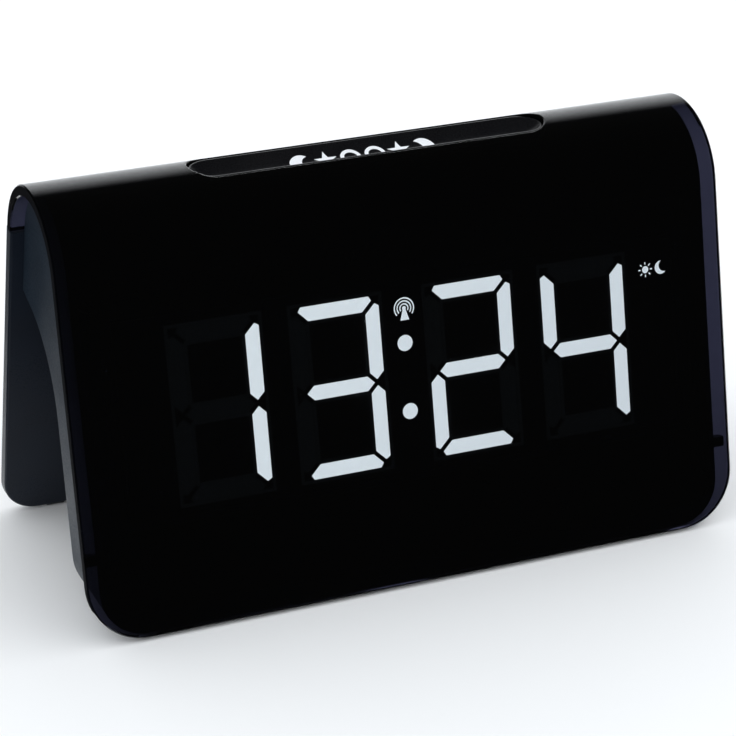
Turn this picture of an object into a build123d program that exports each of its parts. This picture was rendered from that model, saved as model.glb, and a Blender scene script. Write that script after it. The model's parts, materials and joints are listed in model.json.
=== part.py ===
from build123d import *
import math
import os

os.makedirs("parts", exist_ok=True)

# Folded desk clock. Millimetres, X to the right, Y to the back, Z up.
# The origin is on the table, midway between the front edge and the leg.

# ---------------------------------------------------------------- driving sizes
WIDTH = 150.0            # lens and leg, side to side
BASE_Z = 0.8             # lower edge of the front above the table
FRONT_Y = -34.95         # lower edge of the front face
LEAN = 11.75             # front face leans back from the vertical, degrees
LEG_LEAN = 14.5          # leg leans forward from the vertical, degrees
BEND_R = 17.5            # outside of the fold over the crest
BEND_Z = 72.8            # height of the axis of the fold

LENS_T = 2.5
LENS_CORNER = 12.5
LENS_TAIL = 0.9          # straight end of the lens behind the fold
TAPE_T = 0.3

BODY_W = 144.0
BODY_R = 14.7            # outside of the housing under the fold
BODY_CORNER = 9.5
BODY_DEPTH = 20.5        # rear wall behind the front face
WALL = 2.0
UNDER_V = 44.0           # where the rear wall starts to sweep back
UNDER_R = 26.0
UNDER_TURN = 60.0
COVER_GAP = 0.2

LEG_R = 18.0             # outside of the leg, from the axis of the fold
LEG_T = 3.3
LEG_TOP = 1.3
LEG_CORNER = 8.0
LEG_Z = 0.6
FRONT_FEET = ((-54.0, FRONT_Y + 12.6), (54.0, FRONT_Y + 12.6))
LEG_FOOT_X = 62.7

SLOT_L = 81.0            # pill-shaped opening in the crest
SLOT_W = 11.0
SLOT_EDGE = 0.35         # rounding of the opening's outer edge
KEY_L = 80.2
KEY_W = 10.2
KEY_SCOOP = 5.9
KEY_LAND = 0.3           # flat rim left round the scoop
FRAME_SCREW_X = 50.0

DIGIT_V = 45.0           # centre of the digits up the front face
DIGIT_X = (-42.1, -15.2, 15.2, 42.1)
DIGIT_H = 34.1           # between centre lines of the top and bottom bars
DIGIT_W = 16.6
BAR = 3.2
BAR_GAP = 0.64
ARC = 0.32               # stroke of the arcs over the radio mast
LIT = ("bc", "abcdg", "abged", "bcfg")
REFLECTOR_FRONT = 3.1    # depth of the reflector face behind the front face
REFLECTOR_T = 8.4
BAR_T = 2.0
BAR_INSET = 0.15         # face of the bars behind the face of the reflector
COLON = ((0, DIGIT_V - 7.5), (0, DIGIT_V + 7.4))
MAST = (0.35, 59.9)
SUN = (57.6, 59.6)
MOON = (61.4, 59.6)
WINDOW_V = DIGIT_V + 0.3

BOARD_T = 1.6
BOARD_FRONT = REFLECTOR_FRONT + REFLECTOR_T
BOARD_POSTS = ((-66.5, 28.0), (66.5, 28.0), (-66.5, 63.0), (66.5, 63.0))
CASE_POSTS = ((-60.0, 11.0), (60.0, 11.0), (-66.8, 45.0), (66.8, 45.0))
POST_R = 2.5
PILOT_R = 1.25           # hole that a screw cuts its thread in
CLEAR_R = 1.35           # hole that a screw passes through
SHANK_R = 1.2
HEAD_R = 2.4
HEAD_H = 1.2
HEAD_SEAT_R = 2.75

BUTTON_S = 7.0           # buttons sit this far below the top of the leg
BUTTON_X = {"clock": -32.0, "alarm": -16.0, "up": 0.0, "down": 16.0, "light": 32.0}
BUTTON_R = 3.0
BUTTON_HOLE = 3.35
LEG_SCREWS = ((-64.0, -4.2), (64.0, -4.2), (-64.0, -10.8), (64.0, -10.8))
BOARD_SEATS = ((-24.0, -3.2), (24.0, -3.2))   # screws of the button board
SLIDER_X = 49.0

JACK_X = 38.0
CELL_X = 0.0
BUZZER_X = -38.0
LOW_V = 12.6             # centre line of the jack and the buzzer
CELL_V = 19.0
DOOR_T = 2.15            # cell door, without its two lugs
AERIAL = (73.2, 10.0)    # height up the front face and depth of the ferrite rod

# ---------------------------------------------------------------- helpers
SIN = math.sin(math.radians(LEAN))
COS = math.cos(math.radians(LEAN))
LSIN = math.sin(math.radians(LEG_LEAN))
LCOS = math.cos(math.radians(LEG_LEAN))
BEND_Y = FRONT_Y + (BEND_Z - BASE_Z) * SIN / COS + BEND_R / COS

front = Plane(origin=(0, FRONT_Y, BASE_Z), x_dir=(1, 0, 0), z_dir=(0, -COS, SIN))
rear = Plane(origin=(0, BEND_Y, BEND_Z), x_dir=(-1, 0, 0), z_dir=(0, LCOS, LSIN))


def at_front(v, depth):
    """Side-view point v up the front face and depth behind it."""
    return (FRONT_Y + v * SIN + depth * COS, BASE_Z + v * COS - depth * SIN)


def at_front_z(z, depth):
    """Side-view point at a height z on the plane depth behind the front face."""
    return at_front((z - BASE_Z + depth * SIN) / COS, depth)


def at_leg(down, r):
    """Side-view point r out from the fold axis, down along the leg."""
    return (BEND_Y + r * LCOS + down * LSIN, BEND_Z + r * LSIN - down * LCOS)


def at_leg_z(z, r):
    """Side-view point at a height z on the leg plane r out from the fold axis."""
    return at_leg((BEND_Z + r * LSIN - z) / LCOS, r)


def at_bend(r, angle):
    """Side-view point on the fold, angle measured backwards from straight up."""
    a = math.radians(angle)
    return (BEND_Y + r * math.sin(a), BEND_Z + r * math.cos(a))


def tent_face(r, z):
    """Side view of the whole folded outline at radius r, cut level at height z."""
    fold_in = at_bend(r, LEAN - 90)
    fold_out = at_bend(r, 90 - LEG_LEAN)
    with BuildSketch(Plane.YZ, mode=Mode.PRIVATE) as face:
        with BuildLine():
            Line(at_front_z(z, BEND_R - r), fold_in)
            ThreePointArc(fold_in, at_bend(r, 0), fold_out)
            Line(fold_out, at_leg_z(z, r))
            Line(at_leg_z(z, r), at_front_z(z, BEND_R - r))
        make_face()
    return face.sketch


def space_face(grow):
    """Side view of the open space between the housing and the leg."""
    start = at_front(UNDER_V, BODY_DEPTH - grow)
    low = at_front(-30, BODY_DEPTH - grow)
    heading = math.radians(90 - LEAN - UNDER_TURN)
    with BuildSketch(Plane.YZ, mode=Mode.PRIVATE) as face:
        with BuildLine():
            Line(low, start)
            arc = JernArc(start, (SIN, COS), UNDER_R + grow, -UNDER_TURN)
            far = arc @ 1 + Vector(60 * math.cos(heading), 60 * math.sin(heading))
            Line(arc @ 1, far)
            Line(far, (far.X, low[1]))
            Line((far.X, low[1]), low)
        make_face()
    return face.sketch


def bar_outline(name):
    """Corner points of one digit bar about the centre of its digit."""
    t = BAR / 2
    flat = DIGIT_W / 2 - BAR_GAP
    tall = DIGIT_H / 4 - BAR_GAP
    if name in "ad":
        pts = [(t - flat, -t), (-flat - 0.6, 0.6), (-flat, t)]
        pts += [(flat, t), (flat + 0.6, 0.6), (flat - t, -t)]
        side = 1 if name == "a" else -1
        return [(x, side * (y + DIGIT_H / 2)) for x, y in pts]
    if name == "g":
        return [(-flat, 0), (t - flat, t), (flat - t, t), (flat, 0), (flat - t, -t), (t - flat, -t)]
    pts = [(-t, tall - t), (0.6, tall + 0.6), (t, tall), (t, t - tall), (0, -tall), (-t, t - tall)]
    side = 1 if name in "bc" else -1
    up = 1 if name in "bf" else -1
    return [(side * (x + DIGIT_W / 2), up * (y + DIGIT_H / 4)) for x, y in pts]


def bar_faces(names_per_digit):
    """Flat faces of the listed bars, in the plane of the front face."""
    with BuildSketch(Plane.XY, mode=Mode.PRIVATE) as faces:
        for centre, names in zip(DIGIT_X, names_per_digit):
            for name in names:
                with Locations((centre, DIGIT_V)):
                    Polygon(*bar_outline(name), align=None)
    return faces.sketch


def dot_faces():
    with BuildSketch(Plane.XY, mode=Mode.PRIVATE) as faces:
        with Locations(*COLON):
            Circle(1.75)
    return faces.sketch


def icon_faces():
    """Radio mast above the colon, sun and moon beside the last digit."""
    with BuildSketch(Plane.XY, mode=Mode.PRIVATE) as faces:
        with Locations(MAST):
            for r in (2.2, 1.56, 0.92):
                Circle(r + ARC / 2)
                Circle(r - ARC / 2, mode=Mode.SUBTRACT)
            Polygon((0, 0.1), (-4.2, -3.6), (4.2, -3.6), align=None, mode=Mode.SUBTRACT)
            Circle(0.46)
            Polygon((-0.28, 0), (0.28, 0), (1.05, -2.6), (-1.05, -2.6), align=None)
        with Locations(SUN):
            Circle(0.8)
            with PolarLocations(1.4, 8):
                Rectangle(0.6, 0.32)
        with Locations(MOON):
            Circle(1.5)
            with Locations((0.85, 0.35)):
                Circle(1.3, mode=Mode.SUBTRACT)
    return faces.sketch


def save(part, name):
    export_step(part, f"parts/{name}.step")


ALL_BARS = ("abcdefg",) * 4
DARK = tuple("".join(b for b in "abcdefg" if b not in lit) for lit in LIT)

# ---------------------------------------------------------------- lens
with BuildPart() as front_lens:
    inner = BEND_R - LENS_T
    with BuildSketch(Plane.YZ):
        with BuildLine():
            Line(at_front(0, 0), at_bend(BEND_R, LEAN - 90))
            ThreePointArc(at_bend(BEND_R, LEAN - 90), at_bend(BEND_R, 0), at_bend(BEND_R, 90 - LEG_LEAN))
            Line(at_bend(BEND_R, 90 - LEG_LEAN), at_leg(LENS_TAIL, BEND_R))
            Line(at_leg(LENS_TAIL, BEND_R), at_leg(LENS_TAIL, inner))
            Line(at_leg(LENS_TAIL, inner), at_bend(inner, 90 - LEG_LEAN))
            ThreePointArc(at_bend(inner, 90 - LEG_LEAN), at_bend(inner, 0), at_bend(inner, LEAN - 90))
            Line(at_bend(inner, LEAN - 90), at_front(0, LENS_T))
            Line(at_front(0, LENS_T), at_front(0, 0))
        make_face()
    extrude(amount=WIDTH / 2, both=True)
    low_corners = front_lens.edges().filter_by(lambda e: e.center().Z < 2 and e.length < LENS_T + 0.1)
    fillet(low_corners, LENS_CORNER)
    outer_rim = front_lens.edges().filter_by(
        lambda e: abs(abs(e.center().X) - WIDTH / 2) < 0.01 and e.length > LENS_T + 0.5
    )
    chamfer(outer_rim, 0.3)
    with BuildSketch(Plane.XY.offset(BEND_Z + 10)):
        with Locations((0, BEND_Y)):
            SlotOverall(SLOT_L, SLOT_W)
    extrude(amount=20, mode=Mode.SUBTRACT)
    slot_face = front_lens.faces().filter_by(GeomType.CYLINDER).sort_by(Axis.Z)[-1]
    slot_rim = slot_face.inner_wires()[0].edges()
    fillet(slot_rim, SLOT_EDGE)
front_lens.part.label = "front_lens"
save(front_lens.part, "front_lens")

# adhesive frame between the lens and the housing
with BuildPart() as lens_tape:
    with BuildSketch(front.offset(-LENS_T)):
        with Locations((0, 40)):
            RectangleRounded(BODY_W - 3, 70, 5)
        with Locations((0, DIGIT_V)):
            Rectangle(130, 44.5, mode=Mode.SUBTRACT)
    extrude(amount=-TAPE_T)
lens_tape.part.label = "lens_tape"
save(lens_tape.part, "lens_tape")

# ---------------------------------------------------------------- housing
with BuildPart() as body_hollow:
    extrude(tent_face(BODY_R - WALL, BASE_Z + WALL), amount=BODY_W / 2 - WALL, both=True)
    fillet(body_hollow.edges().filter_by(Axis.Y).group_by(Axis.Z)[0], BODY_CORNER - WALL)

with BuildPart() as body_shell:
    extrude(tent_face(BODY_R, BASE_Z) - space_face(0), amount=BODY_W / 2, both=True)
    fillet(body_shell.edges().filter_by(Axis.Y).group_by(Axis.Z)[0], BODY_CORNER)
    add(body_hollow.part, mode=Mode.SUBTRACT)
    # window for the display
    with BuildSketch(front.offset(-1)):
        with Locations((0, WINDOW_V)):
            Rectangle(128.2, 43.2)
    extrude(amount=-6, mode=Mode.SUBTRACT)
    # posts for the rear cover and for the main board
    with BuildSketch(front.offset(-4.7)):
        with Locations(*CASE_POSTS):
            Circle(POST_R + 0.5)
    extrude(amount=-(BODY_DEPTH - WALL - 4.75))
    with BuildSketch(front.offset(-4.7)):
        with Locations(*BOARD_POSTS):
            Circle(POST_R)
    extrude(amount=-(BOARD_FRONT - 4.7))
    with BuildSketch(front.offset(-5.5)):
        with Locations(*CASE_POSTS, *BOARD_POSTS):
            Circle(PILOT_R)
    extrude(amount=-20, mode=Mode.SUBTRACT)
    # opening and hanging bosses for the snooze key
    with BuildSketch(Plane.XY.offset(BEND_Z + 8)):
        with Locations((0, BEND_Y)):
            SlotOverall(SLOT_L + 0.6, SLOT_W + 0.6)
    extrude(amount=20, mode=Mode.SUBTRACT)
    with BuildSketch(Plane.XY.offset(BEND_Z + 6.2)):
        with Locations((-FRAME_SCREW_X, BEND_Y), (FRAME_SCREW_X, BEND_Y)):
            Circle(POST_R + 0.5)
    extrude(amount=7)
    with BuildSketch(Plane.XY.offset(BEND_Z + 6)):
        with Locations((-FRAME_SCREW_X, BEND_Y), (FRAME_SCREW_X, BEND_Y)):
            Circle(PILOT_R)
    extrude(amount=6, mode=Mode.SUBTRACT)
    # bosses for the leg screws, seats for the button board, holes for the controls
    with BuildSketch(rear.offset(BODY_R - WALL + 0.1)):
        with Locations(*LEG_SCREWS):
            Circle(POST_R + 0.5)
    extrude(amount=-6)
    with BuildSketch(rear.offset(BODY_R + 1)):
        with Locations(*LEG_SCREWS):
            Circle(PILOT_R)
    extrude(amount=-9, mode=Mode.SUBTRACT)
    with BuildSketch(rear.offset(BODY_R - WALL + 0.1)):
        with Locations(*BOARD_SEATS):
            Circle(POST_R)
    extrude(amount=-(BODY_R - WALL - 6.8))
    with BuildSketch(rear.offset(BODY_R - WALL)):
        with Locations(*BOARD_SEATS):
            Circle(PILOT_R)
    extrude(amount=-8, mode=Mode.SUBTRACT)
    with BuildSketch(rear.offset(BODY_R + 1)):
        for x in BUTTON_X.values():
            with Locations((x, -BUTTON_S)):
                Circle(BUTTON_HOLE)
        with Locations((SLIDER_X, -BUTTON_S)):
            Rectangle(9.6, 3.8)
    extrude(amount=-4, mode=Mode.SUBTRACT)
    # cradles for the aerial
    with BuildSketch(Plane.YZ.offset(-29)):
        with Locations(at_front(AERIAL[0], AERIAL[1] - 3)):
            Rectangle(6, 6, rotation=-LEAN)
    extrude(amount=2)
    with BuildSketch(Plane.YZ.offset(27)):
        with Locations(at_front(AERIAL[0], AERIAL[1] - 3)):
            Rectangle(6, 6, rotation=-LEAN)
    extrude(amount=2)
    with BuildSketch(Plane.YZ.offset(-32)):
        with Locations(at_front(*AERIAL)):
            Circle(4.05)
    extrude(amount=64, mode=Mode.SUBTRACT)
    # lugs that hold the edges of the lens
    with BuildSketch(front.offset(-LENS_T - TAPE_T)):
        with Locations((-73, 18), (73, 18)):
            Rectangle(3, 2.2)
    extrude(amount=-2)
    # seats for the rubber feet
    with BuildSketch(Plane.XY.offset(BASE_Z)):
        with Locations(*FRONT_FEET):
            Circle(4.1)
    extrude(amount=0.6, mode=Mode.SUBTRACT)
body_shell.part.label = "body_shell"
save(body_shell.part, "body_shell")

# ---------------------------------------------------------------- rear cover
with BuildPart() as back_cover:
    cover_gap = WALL + COVER_GAP
    strip = tent_face(BODY_R - cover_gap, BASE_Z + cover_gap) & (space_face(WALL) - space_face(0))
    extrude(strip, amount=BODY_W / 2 - cover_gap, both=True)
    fillet(back_cover.edges().filter_by(Axis.Y).group_by(Axis.Z)[0], BODY_CORNER - cover_gap)
    # countersunk screw seats
    with BuildSketch(front.offset(-BODY_DEPTH - 1)):
        with Locations(*CASE_POSTS):
            Circle(HEAD_SEAT_R)
    extrude(amount=2.3, mode=Mode.SUBTRACT)
    with BuildSketch(front.offset(-BODY_DEPTH - 1)):
        with Locations(*CASE_POSTS):
            Circle(CLEAR_R)
        # power inlet
        with Locations((JACK_X, LOW_V)):
            Circle(3.95)
        # sound slots over the buzzer
        with Locations((BUZZER_X, LOW_V)):
            with GridLocations(2.6, 0, 5, 1):
                SlotOverall(9, 1.2, rotation=90)
        # twist-lock mouth of the cell door
        with Locations((CELL_X, CELL_V)):
            Circle(11.4)
            with PolarLocations(11.2, 2, start_angle=120):
                Rectangle(3.2, 5.4)
    extrude(amount=4, mode=Mode.SUBTRACT)
back_cover.part.label = "back_cover"
save(back_cover.part, "back_cover")

# ---------------------------------------------------------------- leg
with BuildPart() as rear_leg:
    with BuildSketch(Plane.YZ):
        with BuildLine():
            Polyline(
                at_leg(LEG_TOP, LEG_R),
                at_leg_z(LEG_Z, LEG_R),
                at_leg_z(LEG_Z, LEG_R - LEG_T),
                at_leg(LEG_TOP, LEG_R - LEG_T),
                close=True,
            )
        make_face()
    extrude(amount=WIDTH / 2, both=True)
    fillet(rear_leg.edges().filter_by(Axis.Y).group_by(Axis.Z)[0], LEG_CORNER)
    side_edges = rear_leg.edges().filter_by(lambda e: abs(abs(e.center().X) - WIDTH / 2) < 0.01)
    fillet(side_edges.filter_by(lambda e: e.length > 20), 0.5)
    # shallow control strip and its openings
    with BuildSketch(rear.offset(LEG_R)):
        with Locations((0, -BUTTON_S)):
            RectangleRounded(118, 11.4, 3)
    extrude(amount=-0.4, mode=Mode.SUBTRACT)
    with BuildSketch(rear.offset(LEG_R + 1)):
        for x in BUTTON_X.values():
            with Locations((x, -BUTTON_S)):
                Circle(BUTTON_HOLE)
        with Locations((SLIDER_X, -BUTTON_S)):
            Rectangle(9.6, 3.8)
        with Locations(*LEG_SCREWS):
            Circle(CLEAR_R)
    extrude(amount=-6, mode=Mode.SUBTRACT)
    with BuildSketch(rear.offset(LEG_R + 1)):
        with Locations(*LEG_SCREWS):
            Circle(HEAD_SEAT_R)
    extrude(amount=-2.9, mode=Mode.SUBTRACT)
    # pockets for the leg feet
    foot_y = at_leg_z(LEG_Z, LEG_R - LEG_T / 2)[0]
    with BuildSketch(Plane.XY.offset(LEG_Z - 1)):
        with Locations((-LEG_FOOT_X, foot_y), (LEG_FOOT_X, foot_y)):
            Rectangle(4.1, 2.1)
    extrude(amount=2.4, mode=Mode.SUBTRACT)
rear_leg.part.label = "rear_leg"
save(rear_leg.part, "rear_leg")

with BuildPart() as leg_feet:
    with BuildSketch(Plane.XY):
        with Locations((-LEG_FOOT_X, foot_y), (LEG_FOOT_X, foot_y)):
            Rectangle(4.0, 2.0)
    extrude(amount=LEG_Z + 1.4)
    fillet(leg_feet.edges().filter_by(Axis.X).group_by(Axis.Z)[0], 0.3)
leg_feet.part.label = "leg_feet"
save(leg_feet.part, "leg_feet")

with BuildPart() as front_feet:
    with BuildSketch(Plane.XY):
        with Locations(*FRONT_FEET):
            Circle(4.0)
    extrude(amount=BASE_Z + 0.6)
    fillet(front_feet.edges().filter_by(GeomType.CIRCLE).group_by(Axis.Z)[0], 0.3)
front_feet.part.label = "front_feet"
save(front_feet.part, "front_feet")

# ---------------------------------------------------------------- snooze key
KEY_RIM = BEND_Z + math.sqrt(BEND_R**2 - (KEY_W / 2) ** 2) - 0.3
SCOOP_Z = KEY_RIM + math.sqrt(KEY_SCOOP**2 - (KEY_W / 2 - KEY_LAND) ** 2)
KEY_END = (KEY_L - KEY_W) / 2
FRAME_TOP = BEND_Z + 6.2
FLANGE_Z = BEND_Z + 9.2
KEY_FLOOR = BEND_Z + 12.2
SPRING_X = 28.0
PIN_X = 36.2
SPIGOT_X = 7.5
SWITCH_S = 6.0           # side of a tact switch
SWITCH_H = 3.1
PLUNGER_R = 1.6
PLUNGER_H = 1.8

with BuildPart() as key_scoop:
    with BuildSketch(Plane.YZ):
        with Locations((BEND_Y, SCOOP_Z)):
            Circle(KEY_SCOOP)
    extrude(amount=KEY_END, both=True)
    with Locations((-KEY_END, BEND_Y, SCOOP_Z), (KEY_END, BEND_Y, SCOOP_Z)):
        Sphere(KEY_SCOOP)

with BuildPart() as snooze_key:
    with BuildSketch(Plane.XY.offset(FLANGE_Z)):
        with Locations((0, BEND_Y)):
            SlotOverall(KEY_L, KEY_W)
    extrude(amount=KEY_RIM - FLANGE_Z)
    with BuildSketch(Plane.XY.offset(FLANGE_Z)):
        with Locations((0, BEND_Y)):
            SlotOverall(88, 13)
    extrude(amount=1)
    add(key_scoop.part, mode=Mode.SUBTRACT)
    with BuildSketch(Plane.XY.offset(FLANGE_Z)):
        with Locations((0, BEND_Y)):
            SlotOverall(KEY_L - 3.2, KEY_W - 3.2)
    extrude(amount=KEY_FLOOR - FLANGE_Z, mode=Mode.SUBTRACT)
    # pusher over the switch, spring spigots and guide pins
    with BuildSketch(Plane.XY.offset(BEND_Z + 8.6)):
        with Locations((0, BEND_Y)):
            Circle(2.2)
    extrude(amount=4)
    with BuildSketch(Plane.XY.offset(BEND_Z + 9.0)):
        with Locations((-SPRING_X, BEND_Y), (SPRING_X, BEND_Y)):
            Circle(1.3)
    extrude(amount=3.6)
    with BuildSketch(Plane.XY.offset(BEND_Z + 2.2)):
        with Locations((-PIN_X, BEND_Y), (PIN_X, BEND_Y)):
            Circle(1.5)
    extrude(amount=10.4)
snooze_key.part.label = "snooze_key"
save(snooze_key.part, "snooze_key")

with BuildPart() as key_frame:
    with BuildSketch(Plane.XY.offset(FRAME_TOP)):
        with Locations((0, BEND_Y)):
            RectangleRounded(108, 13.6, 3)
            Rectangle(7.4, 7.4, mode=Mode.SUBTRACT)
        with Locations((-PIN_X, BEND_Y), (PIN_X, BEND_Y)):
            Circle(1.55, mode=Mode.SUBTRACT)
        with Locations((-FRAME_SCREW_X, BEND_Y), (FRAME_SCREW_X, BEND_Y)):
            Circle(CLEAR_R, mode=Mode.SUBTRACT)
    extrude(amount=-WALL)
    with BuildSketch(Plane.XY.offset(FRAME_TOP)):
        with Locations((-SPRING_X, BEND_Y), (SPRING_X, BEND_Y)):
            Circle(1.3)
    extrude(amount=1.2)
    with BuildSketch(Plane.XY.offset(FRAME_TOP - WALL)):
        with Locations((-SPIGOT_X, BEND_Y), (SPIGOT_X, BEND_Y)):
            Circle(0.9)
    extrude(amount=-1.4)
key_frame.part.label = "key_frame"
save(key_frame.part, "key_frame")

with BuildPart() as snooze_board:
    with BuildSketch(Plane.XY.offset(FRAME_TOP - WALL)):
        with Locations((0, BEND_Y)):
            Rectangle(20, 8.4)
        with Locations((-SPIGOT_X, BEND_Y), (SPIGOT_X, BEND_Y)):
            Circle(0.95, mode=Mode.SUBTRACT)
    extrude(amount=-1)
snooze_board.part.label = "snooze_board"
save(snooze_board.part, "snooze_board")

with BuildPart() as snooze_switch:
    with BuildSketch(Plane.XY.offset(FRAME_TOP - WALL)):
        with Locations((0, BEND_Y)):
            Rectangle(SWITCH_S, SWITCH_S)
    extrude(amount=SWITCH_H)
    with BuildSketch(Plane.XY.offset(BEND_Z + 5.3)):
        with Locations((0, BEND_Y)):
            Circle(1.9)
    extrude(amount=4, mode=Mode.SUBTRACT)
snooze_switch.part.label = "snooze_switch"
save(snooze_switch.part, "snooze_switch")

with BuildPart() as snooze_plunger:
    with BuildSketch(Plane.XY.offset(BEND_Z + 6.8)):
        with Locations((0, BEND_Y)):
            Circle(PLUNGER_R)
    extrude(amount=PLUNGER_H)
snooze_plunger.part.label = "snooze_plunger"
save(snooze_plunger.part, "snooze_plunger")

with BuildPart() as snooze_springs:
    coil_height = KEY_FLOOR - FRAME_TOP - 0.5
    with BuildLine(Plane(origin=(-SPRING_X, BEND_Y, FRAME_TOP + 0.25))):
        coil = Helix(pitch=coil_height / 4.5, height=coil_height, radius=2.0)
    with BuildSketch(Plane(origin=coil @ 0, z_dir=coil % 0)):
        Circle(0.22)
    sweep(is_frenet=True)
    mirror(about=Plane.YZ)
snooze_springs.part.label = "snooze_springs"
save(snooze_springs.part, "snooze_springs")

# ---------------------------------------------------------------- rear buttons
SEAT_R = 6.8             # face of the button board, out from the fold axis

for name, x in BUTTON_X.items():
    with BuildPart() as cap:
        with BuildSketch(rear.offset(11.0)):
            with Locations((x, -BUTTON_S)):
                Circle(4.2)
        extrude(amount=1.4)
        with BuildSketch(rear.offset(12.0)):
            with Locations((x, -BUTTON_S)):
                Circle(BUTTON_R)
        extrude(amount=LEG_R + 1.5 - 12.0)
        fillet(cap.faces().sort_by(Axis(rear.origin, rear.z_dir))[-1].edges(), 0.6)
    cap.part.label = f"button_{name}"
    save(cap.part, f"button_{name}")

    with BuildPart() as plunger:
        with BuildSketch(rear.offset(9.2)):
            with Locations((x, -BUTTON_S)):
                Circle(PLUNGER_R)
        extrude(amount=PLUNGER_H)
    plunger.part.label = f"plunger_{name}"
    save(plunger.part, f"plunger_{name}")

with BuildPart() as button_board:
    with BuildSketch(rear.offset(SEAT_R)):
        with Locations((2, -6.7)):
            RectangleRounded(112, 12.6, 1.5)
        with Locations(*BOARD_SEATS):
            Circle(CLEAR_R, mode=Mode.SUBTRACT)
    extrude(amount=-1.2)
button_board.part.label = "button_board"
save(button_board.part, "button_board")

with BuildPart() as button_switches:
    with BuildSketch(rear.offset(SEAT_R)):
        for x in BUTTON_X.values():
            with Locations((x, -BUTTON_S)):
                Rectangle(SWITCH_S, SWITCH_S)
    extrude(amount=SWITCH_H)
    with BuildSketch(rear.offset(8.0)):
        for x in BUTTON_X.values():
            with Locations((x, -BUTTON_S)):
                Circle(1.9)
    extrude(amount=4, mode=Mode.SUBTRACT)
button_switches.part.label = "button_switches"
save(button_switches.part, "button_switches")

with BuildPart() as slider_case:
    with BuildSketch(rear.offset(SEAT_R)):
        with Locations((SLIDER_X, -BUTTON_S)):
            Rectangle(11, 5)
    extrude(amount=2.8)
slider_case.part.label = "slider_case"
save(slider_case.part, "slider_case")

with BuildPart() as alarm_slider:
    # foot, dust plate behind the wall, and ribbed thumb piece
    with BuildSketch(rear.offset(9.7)):
        with Locations((SLIDER_X, -BUTTON_S)):
            Rectangle(3.6, 3.0)
    extrude(amount=LEG_R + 1.0 - 9.7)
    with BuildSketch(rear.offset(11.4)):
        with Locations((SLIDER_X, -BUTTON_S)):
            Rectangle(14.4, 6.4)
    extrude(amount=0.9)
    with BuildSketch(rear.offset(LEG_R + 1.1)):
        with Locations((SLIDER_X, -BUTTON_S)):
            with GridLocations(1.2, 0, 3, 1):
                Rectangle(0.5, 3.0)
    extrude(amount=-0.5, mode=Mode.SUBTRACT)
alarm_slider.part.label = "alarm_slider"
save(alarm_slider.part, "alarm_slider")

# ---------------------------------------------------------------- display
with BuildPart() as display_reflector:
    with BuildSketch(front.offset(-REFLECTOR_FRONT)):
        with Locations((0, WINDOW_V)):
            Rectangle(127.2, 42.4)
        add(bar_faces(ALL_BARS), mode=Mode.SUBTRACT)
        add(dot_faces(), mode=Mode.SUBTRACT)
        add(icon_faces(), mode=Mode.SUBTRACT)
    extrude(amount=-REFLECTOR_T)
display_reflector.part.label = "display_reflector"
save(display_reflector.part, "display_reflector")

with BuildPart() as bars_lit:
    with BuildSketch(front.offset(-REFLECTOR_FRONT - BAR_INSET)):
        add(bar_faces(LIT))
    extrude(amount=-BAR_T)
bars_lit.part.label = "bars_lit"
save(bars_lit.part, "bars_lit")

with BuildPart() as bars_dark:
    with BuildSketch(front.offset(-REFLECTOR_FRONT - BAR_INSET)):
        add(bar_faces(DARK))
    extrude(amount=-BAR_T)
bars_dark.part.label = "bars_dark"
save(bars_dark.part, "bars_dark")

with BuildPart() as colon_dots:
    with BuildSketch(front.offset(-REFLECTOR_FRONT - BAR_INSET)):
        add(dot_faces())
    extrude(amount=-BAR_T)
colon_dots.part.label = "colon_dots"
save(colon_dots.part, "colon_dots")

with BuildPart() as status_icons:
    with BuildSketch(front.offset(-REFLECTOR_FRONT - BAR_INSET)):
        add(icon_faces())
    extrude(amount=-BAR_T)
status_icons.part.label = "status_icons"
save(status_icons.part, "status_icons")

with BuildPart() as main_board:
    with BuildSketch(front.offset(-BOARD_FRONT)):
        with Locations((0, 44.75)):
            Rectangle(137.6, 45.5)
        with Locations((-67, 45), (67, 45)):
            Rectangle(8, 7.4, mode=Mode.SUBTRACT)
        with Locations(*BOARD_POSTS):
            Circle(CLEAR_R, mode=Mode.SUBTRACT)
    extrude(amount=-BOARD_T)
main_board.part.label = "main_board"
save(main_board.part, "main_board")

CHIP = 1.0
with BuildPart() as led_chips:
    with BuildSketch(front.offset(-BOARD_FRONT + 0.7)):
        for centre in DIGIT_X:
            for side in (-1, 1):
                with Locations((centre + side * DIGIT_W / 2, DIGIT_V)):
                    with GridLocations(0, DIGIT_H / 2, 1, 2):
                        with GridLocations(0, 6, 1, 2):
                            Rectangle(CHIP, CHIP)
                with Locations((centre + side * 3, DIGIT_V)):
                    with GridLocations(0, DIGIT_H / 2, 1, 3):
                        Rectangle(CHIP, CHIP)
        with Locations(*COLON, (MAST[0], MAST[1] - 2), SUN):
            Rectangle(CHIP, CHIP)
    extrude(amount=-0.7)
led_chips.part.label = "led_chips"
save(led_chips.part, "led_chips")

BACK_OF_BOARD = BOARD_FRONT + BOARD_T


def chip_block(x, v, wide, high, pins):
    """A surface-mounted chip with two rows of legs, on the back of the board."""
    with Locations((x, v)):
        Rectangle(wide, high)
        with GridLocations(wide * 0.9 / pins, high + 1.2, pins, 2):
            Rectangle(0.4, 1.2)


with BuildPart() as logic_chips:
    with BuildSketch(front.offset(-BACK_OF_BOARD)):
        chip_block(-24, 52, 10, 10, 8)
        chip_block(20, 55, 12.8, 7.5, 10)
        chip_block(42, 55, 12.8, 7.5, 10)
    extrude(amount=-0.5)
    with BuildSketch(front.offset(-BACK_OF_BOARD)):
        with Locations((-24, 52)):
            Rectangle(10, 10)
        with Locations((20, 55), (42, 55)):
            Rectangle(12.8, 7.5)
    extrude(amount=-1.6)
logic_chips.part.label = "logic_chips"
save(logic_chips.part, "logic_chips")

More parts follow.
